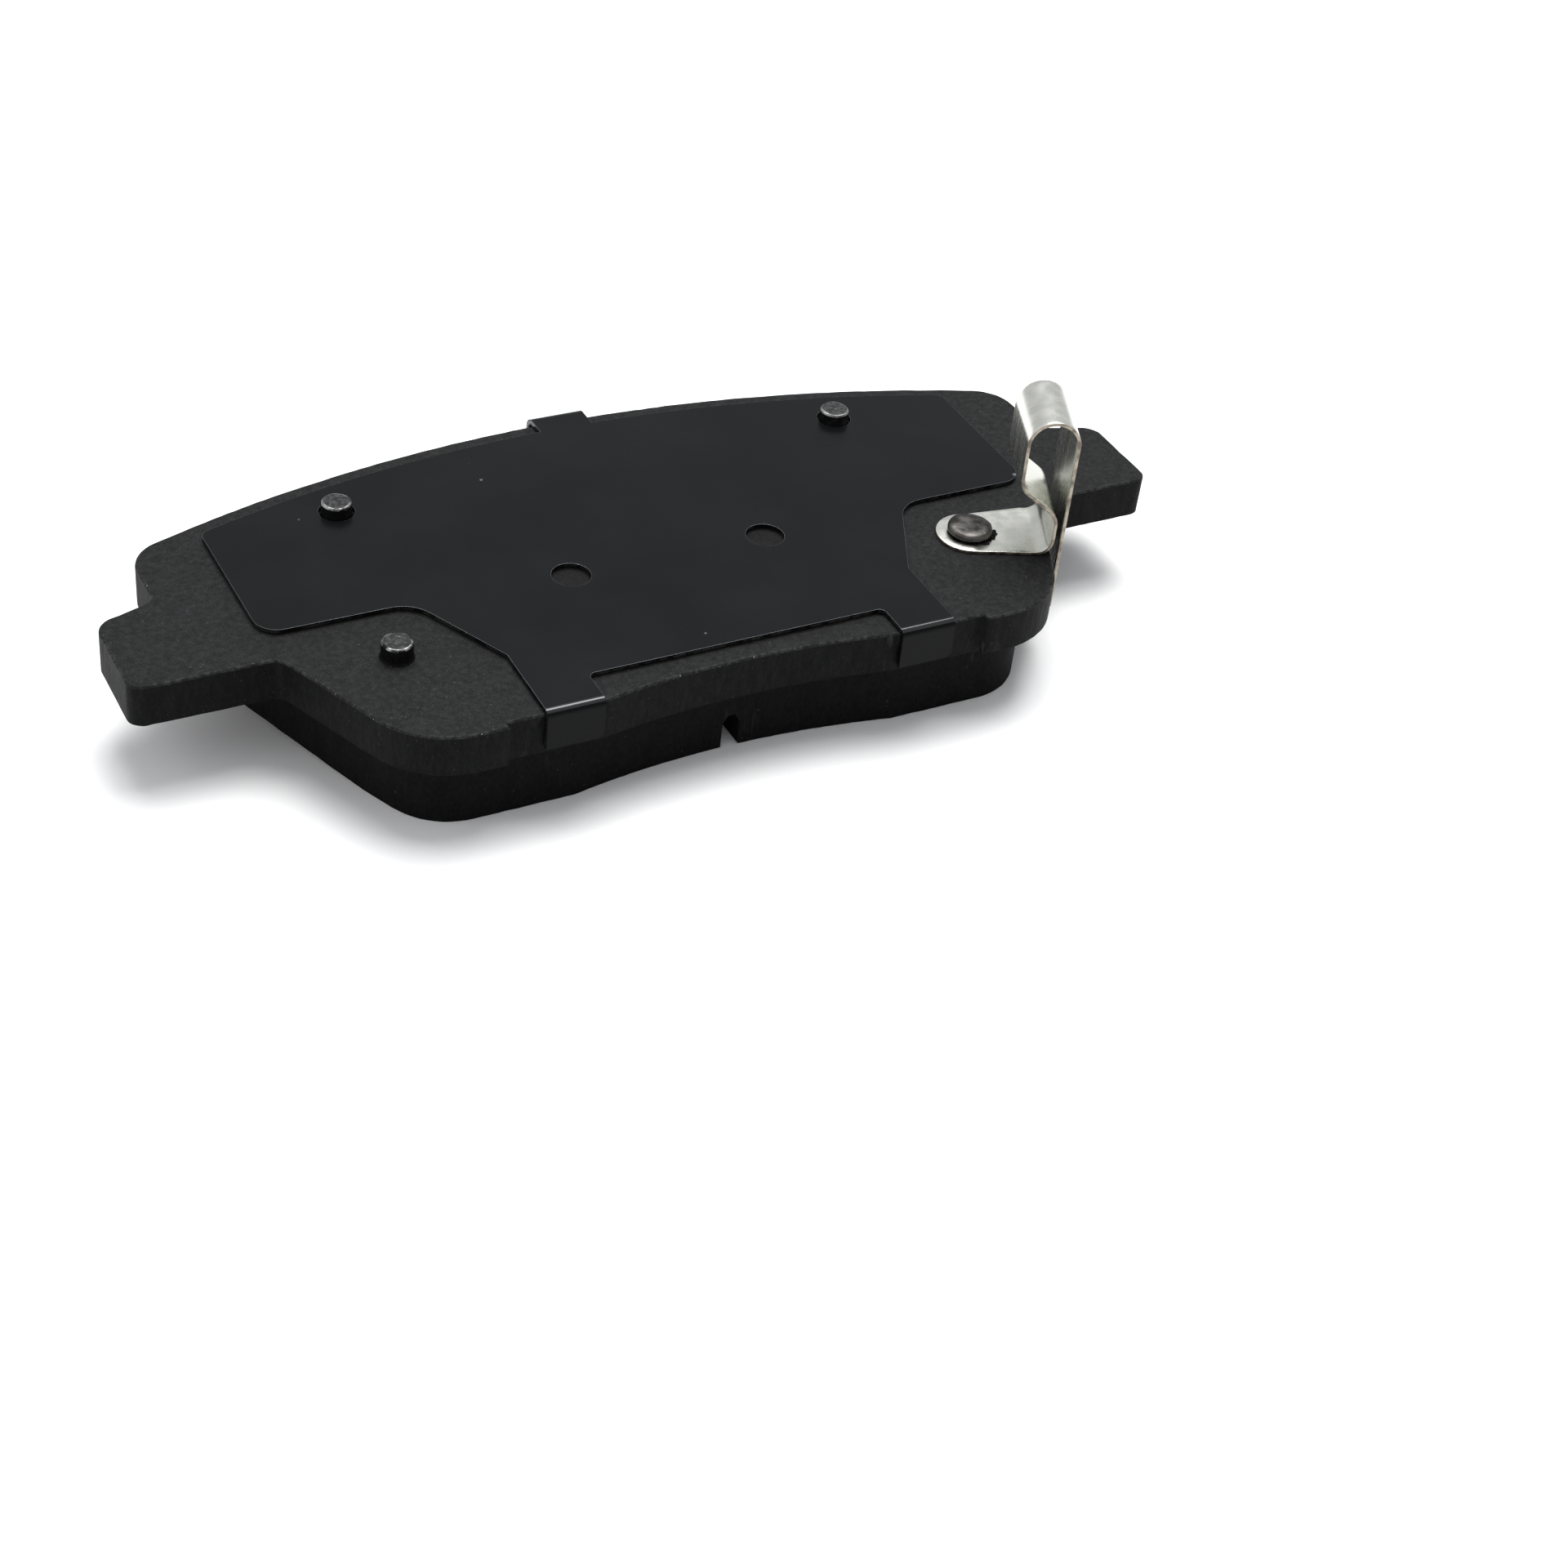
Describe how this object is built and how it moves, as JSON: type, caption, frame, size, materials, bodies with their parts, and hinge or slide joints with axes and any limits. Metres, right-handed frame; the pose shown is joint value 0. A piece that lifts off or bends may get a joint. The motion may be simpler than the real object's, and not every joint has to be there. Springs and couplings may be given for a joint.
{
  "type": "disc brake pad",
  "caption": "Disc brake pad: grooved friction lining on an eared steel backing plate, with a clipped anti-noise shim and a riveted spring strip that warns of wear.",
  "frame": {"origin": "bottom centre of the pad's box, on the plane of the friction face", "axes": "+Z away from the disc, from the friction face to the shim; +X along the ears, towards the end with the wear indicator; +Y towards the disc's rim"},
  "size_m": [0.151, 0.0662, 0.0378],
  "materials": {
    "friction_material": "ground friction face with tan, rust and dark flecks; sides painted black",
    "underlayer": "pressed composite under black paint",
    "bond": "cured adhesive film",
    "plate_coat": "fine-textured black powder coat, worn a little at the edges",
    "adhesive": "pressure-sensitive adhesive",
    "shim_rubber": "smooth satin black rubber coat",
    "shim_steel": "cold-rolled steel, seen only at its cut edges",
    "spring_steel": "bright plated spring steel"
  },
  "bodies": {
    "pad": {"friction_lining": "friction_material", "underlayer": "underlayer", "bond_film": "bond", "backing_plate": "plate_coat", "shim_adhesive": "adhesive", "shim_inner_rubber": "shim_rubber", "shim_core": "shim_steel", "shim_outer_rubber": "shim_rubber", "indicator_clip": "spring_steel"},
    "reed": {"indicator_reed": "spring_steel"}
  },
  "joints": [
    {"name": "indicator_flex", "type": "hinge", "parent": "pad", "child": "reed", "pos_m": [0.05072, -0.01694, 0.03753], "axis": [-0.3926, -0.9197, 0], "range_deg": [-1.2, 5], "stiffness_Nm_per_rad": 0.8}
  ]
}
